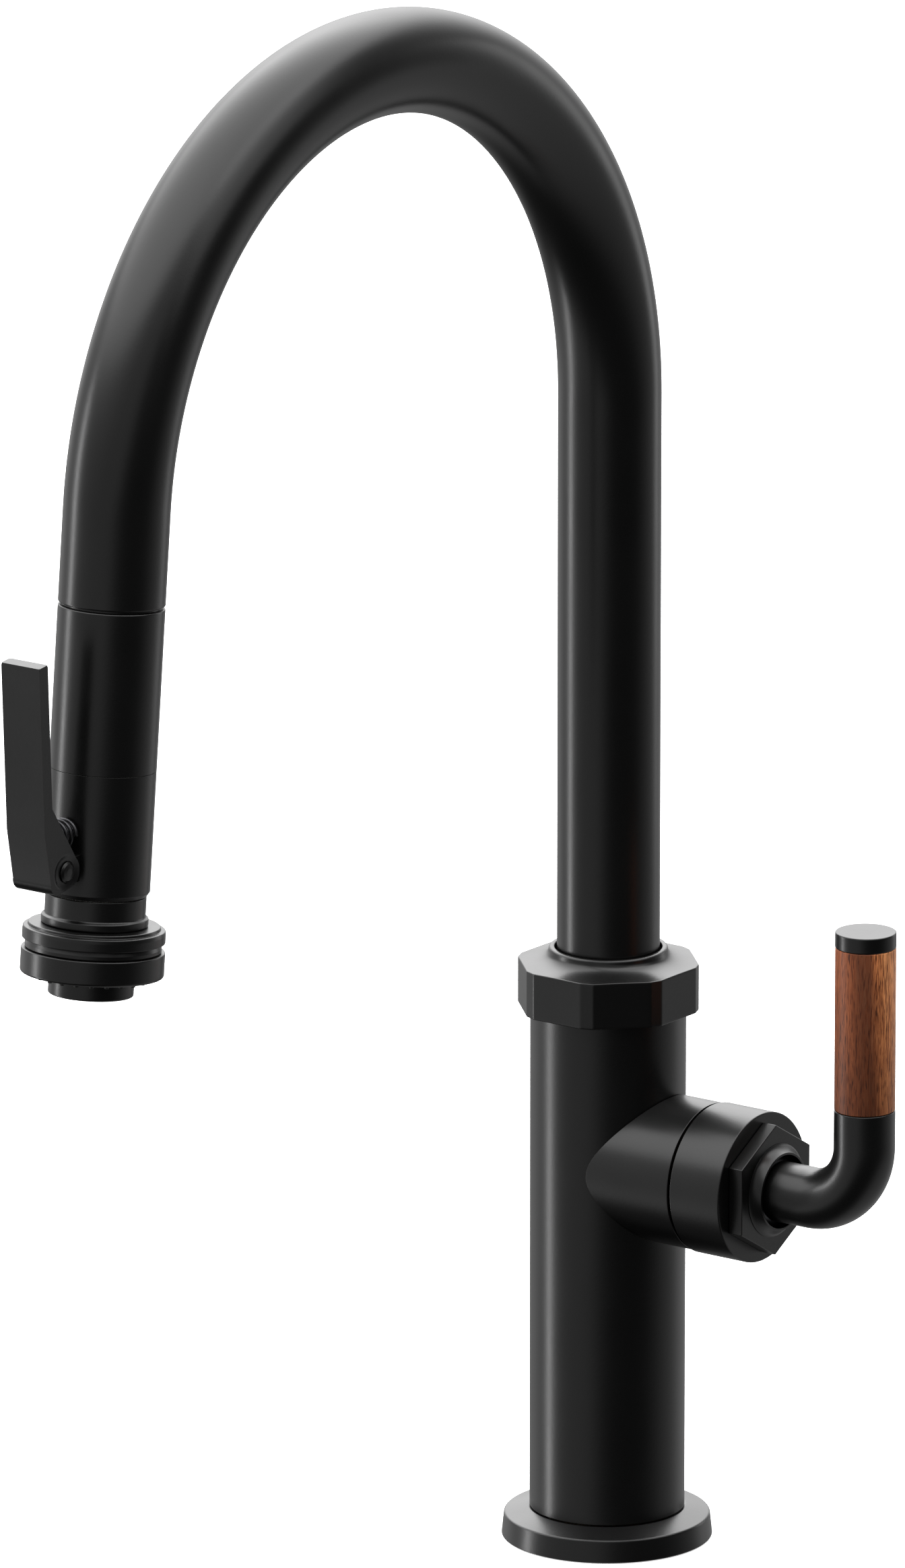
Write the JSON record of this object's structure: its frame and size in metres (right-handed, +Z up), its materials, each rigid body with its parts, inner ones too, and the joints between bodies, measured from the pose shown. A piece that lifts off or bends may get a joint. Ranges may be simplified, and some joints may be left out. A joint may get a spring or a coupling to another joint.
{
  "type": "kitchen faucet",
  "caption": "Tall single-handle faucet: arched swivel spout, pull-down spray head with a spring lever, octagonal collar nut and a side handle with a wooden grip.",
  "frame": {"origin": "centre of the base's underside, on the deck that the faucet is clamped to", "axes": "+Z up, the spout reaches along -Y, the handle stands out along +X"},
  "size_m": [0.1225, 0.2867, 0.4442],
  "materials": {
    "black_coated_metal": "satin black powder coat",
    "walnut": "oiled walnut, satin",
    "brass": "machined",
    "steel": "drawn stainless",
    "copper": "drawn copper",
    "ceramic": "lapped alumina",
    "acetal": "moulded acetal",
    "rubber": "moulded silicone rubber",
    "braided_nylon": "nylon braid",
    "magnet": "bonded ferrite"
  },
  "bodies": {
    "base": {"deck_gasket": "rubber", "base_flange": "black_coated_metal", "body_column": "black_coated_metal", "base_insert": "brass", "hot_inlet_pipe": "copper", "cold_inlet_pipe": "copper", "mixed_outlet_pipe": "copper", "valve_body": "brass", "valve_boss": "black_coated_metal", "cartridge_housing": "brass", "cartridge_body": "acetal", "fixed_ceramic_disc": "ceramic", "cartridge_nut": "brass", "swivel_bush": "acetal", "lower_thrust_washer": "acetal", "upper_thrust_washer": "acetal", "collar_nut": "black_coated_metal"},
    "spout": {"spout_tube": "black_coated_metal", "spout_retaining_ring": "steel", "dock_magnet": "magnet", "dock_sleeve": "acetal", "pull_down_hose": "braided_nylon"},
    "spray_head": {"head_upper_shell": "black_coated_metal", "head_lower_shell": "black_coated_metal", "dock_plate": "steel", "hose_connector": "brass", "check_valve": "acetal", "connector_seal": "rubber", "head_waterway": "acetal", "neck_sleeve": "black_coated_metal", "spray_housing": "black_coated_metal", "spray_ring": "black_coated_metal", "spray_face_pad": "rubber", "nozzle": "black_coated_metal", "aerator": "acetal", "lever_pin": "steel", "lever_spring": "steel"},
    "lever": {"spray_lever": "black_coated_metal"},
    "plunger": {"diverter_plunger": "steel"},
    "hub": {"handle_hub": "black_coated_metal", "hub_set_screw": "steel", "ball_seat": "acetal", "hex_nut": "black_coated_metal", "ball_retainer": "black_coated_metal"},
    "handle": {"lever_ball": "brass", "handle_arm": "black_coated_metal", "grip_stud": "steel", "wood_grip": "walnut", "grip_cap": "black_coated_metal"},
    "disc": {"moving_ceramic_disc": "ceramic", "disc_carrier": "acetal"}
  },
  "joints": [
    {"name": "spout_swivel", "type": "hinge", "parent": "base", "child": "spout", "pos_m": [0, 0, 0.146], "axis": [0, 0, 1], "range_deg": [-180, 180]},
    {"name": "head_pulldown", "type": "slide", "parent": "spout", "child": "spray_head", "axis": [0, -0.0958, -0.9954], "range_m": [0, 0.17], "deforming": ["pull_down_hose"]},
    {"name": "lever_press", "type": "hinge", "parent": "spray_head", "child": "lever", "pos_m": [0, -0.24605, 0.2421], "axis": [-1, 0, 0], "range_deg": [0, 15], "stiffness_Nm_per_rad": 0.08, "springref_deg": -28.65, "deforming": ["lever_spring"]},
    {"name": "plunger_travel", "type": "slide", "parent": "spray_head", "child": "plunger", "axis": [0, 0.9954, -0.0958], "range_m": [0, 0.0026]},
    {"name": "hub_turn", "type": "hinge", "parent": "base", "child": "hub", "pos_m": [0.0436, 0, 0.1074], "axis": [1, 0, 0], "range_deg": [-45, 45]},
    {"name": "handle_tilt", "type": "hinge", "parent": "hub", "child": "handle", "pos_m": [0.0535, 0, 0.1074], "axis": [0, 1, 0], "range_deg": [0, 14]},
    {"name": "disc_travel", "type": "slide", "parent": "hub", "child": "disc", "axis": [0, 0, 1], "range_m": [0, 0.0043]}
  ],
  "couplings": [
    {"joint": "plunger_travel", "follows": "lever_press", "m_per_rad": 0.0096},
    {"joint": "disc_travel", "follows": "handle_tilt", "m_per_rad": 0.0175}
  ]
}
